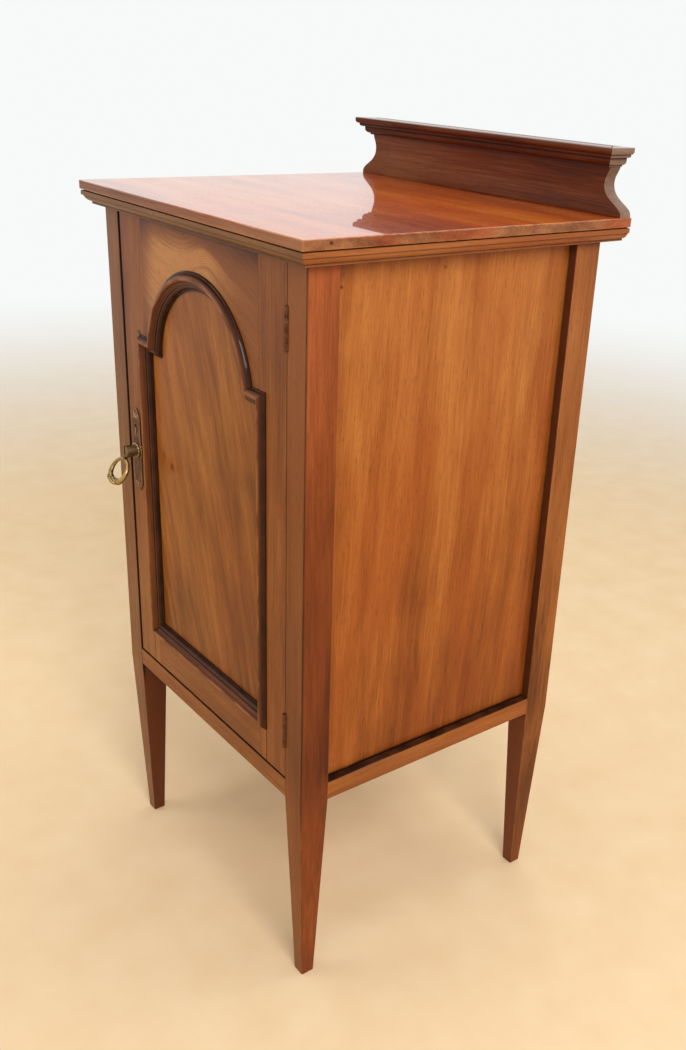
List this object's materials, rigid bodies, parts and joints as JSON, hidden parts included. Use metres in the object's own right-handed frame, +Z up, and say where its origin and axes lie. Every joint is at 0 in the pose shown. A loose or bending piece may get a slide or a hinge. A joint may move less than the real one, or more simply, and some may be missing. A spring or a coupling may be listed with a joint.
{
  "type": "bedside cupboard",
  "caption": "Small mahogany cupboard on tapered legs with an arched-panel door, drop handle, cupboard lock, moulded top and low back gallery.",
  "frame": {"origin": "on the floor, at the centre of the bounding box: midway between the case's sides, and midway between the drop handle's front and the top's back edge", "axes": "+X to the right as seen from the front, +Y from the front to the back, +Z up"},
  "size_m": [0.407, 0.3896, 0.832],
  "materials": {
    "mahogany_case": "French polished, warm red-brown, straight grain",
    "mahogany_top": "high French polish, glossy",
    "mahogany_panel": "French polished, orange-brown, ribbon figure",
    "mahogany_door": "French polished, swirl figure",
    "mahogany_moulding": "French polished, dark red-brown",
    "inner_wood": "unpolished softwood",
    "aged_brass": "aged, rubbed bright on the drop",
    "dark_brass": "dull, darkened by age",
    "steel": "plain"
  },
  "bodies": {
    "case": {"top_board": "mahogany_top", "top_moulding_front": "mahogany_case", "top_moulding_left": "mahogany_case", "top_moulding_right": "mahogany_case", "gallery_board": "mahogany_moulding", "gallery_cornice_front": "mahogany_moulding", "gallery_cornice_left": "mahogany_moulding", "gallery_cornice_right": "mahogany_moulding", "leg_front_left": "mahogany_case", "leg_front_right": "mahogany_case", "leg_rear_left": "mahogany_case", "leg_rear_right": "mahogany_case", "side_panel_left": "mahogany_panel", "side_panel_right": "mahogany_panel", "back_panel": "inner_wood", "lower_rail_front": "mahogany_case", "lower_rail_rear": "mahogany_case", "lower_rail_left": "mahogany_case", "lower_rail_right": "mahogany_case", "upper_rail_front": "inner_wood", "upper_rail_rear": "inner_wood", "upper_rail_left": "inner_wood", "upper_rail_right": "inner_wood", "bottom_board": "inner_wood", "glue_blocks": "inner_wood", "shelf": "inner_wood", "shelf_bearers": "inner_wood", "door_stop": "mahogany_door", "top_screws": "steel", "gallery_screws": "steel", "hinge_upper_case_leaf": "dark_brass", "hinge_upper_pin": "dark_brass", "hinge_lower_case_leaf": "dark_brass", "hinge_lower_pin": "dark_brass", "hinge_case_screws": "dark_brass", "lock_keep": "dark_brass", "keep_screws": "dark_brass"},
    "door": {"door_stile_lock": "mahogany_door", "door_stile_hinge": "mahogany_door", "door_rail_top": "mahogany_door", "door_rail_bottom": "mahogany_door", "door_panel": "mahogany_door", "door_moulding_left": "mahogany_moulding", "door_moulding_right": "mahogany_moulding", "door_moulding_bottom": "mahogany_moulding", "door_moulding_shoulders": "mahogany_moulding", "door_moulding_arch": "mahogany_moulding", "hinge_upper_door_leaf": "dark_brass", "hinge_lower_door_leaf": "dark_brass", "hinge_door_screws": "dark_brass", "lock_case": "dark_brass", "lock_cap": "dark_brass", "lock_spring": "steel", "lock_screws": "dark_brass", "handle_plate": "dark_brass", "plate_pins": "dark_brass", "handle_post": "aged_brass", "handle_pin": "aged_brass"},
    "drop": {"handle_drop": "aged_brass"},
    "bolt": {"lock_bolt": "dark_brass"}
  },
  "joints": [
    {"name": "door_hinge", "type": "hinge", "parent": "case", "child": "door", "pos_m": [0.155, -0.16123, 0.5], "axis": [0, 0, 1], "range_deg": [0, 170]},
    {"name": "handle_swing", "type": "hinge", "parent": "door", "child": "drop", "pos_m": [-0.1383, -0.17123, 0.498], "axis": [-1, 0, 0], "range_deg": [-38, 130]},
    {"name": "bolt_slide", "type": "slide", "parent": "door", "child": "bolt", "axis": [-1, 0, 0], "range_m": [0, 0.007]}
  ]
}
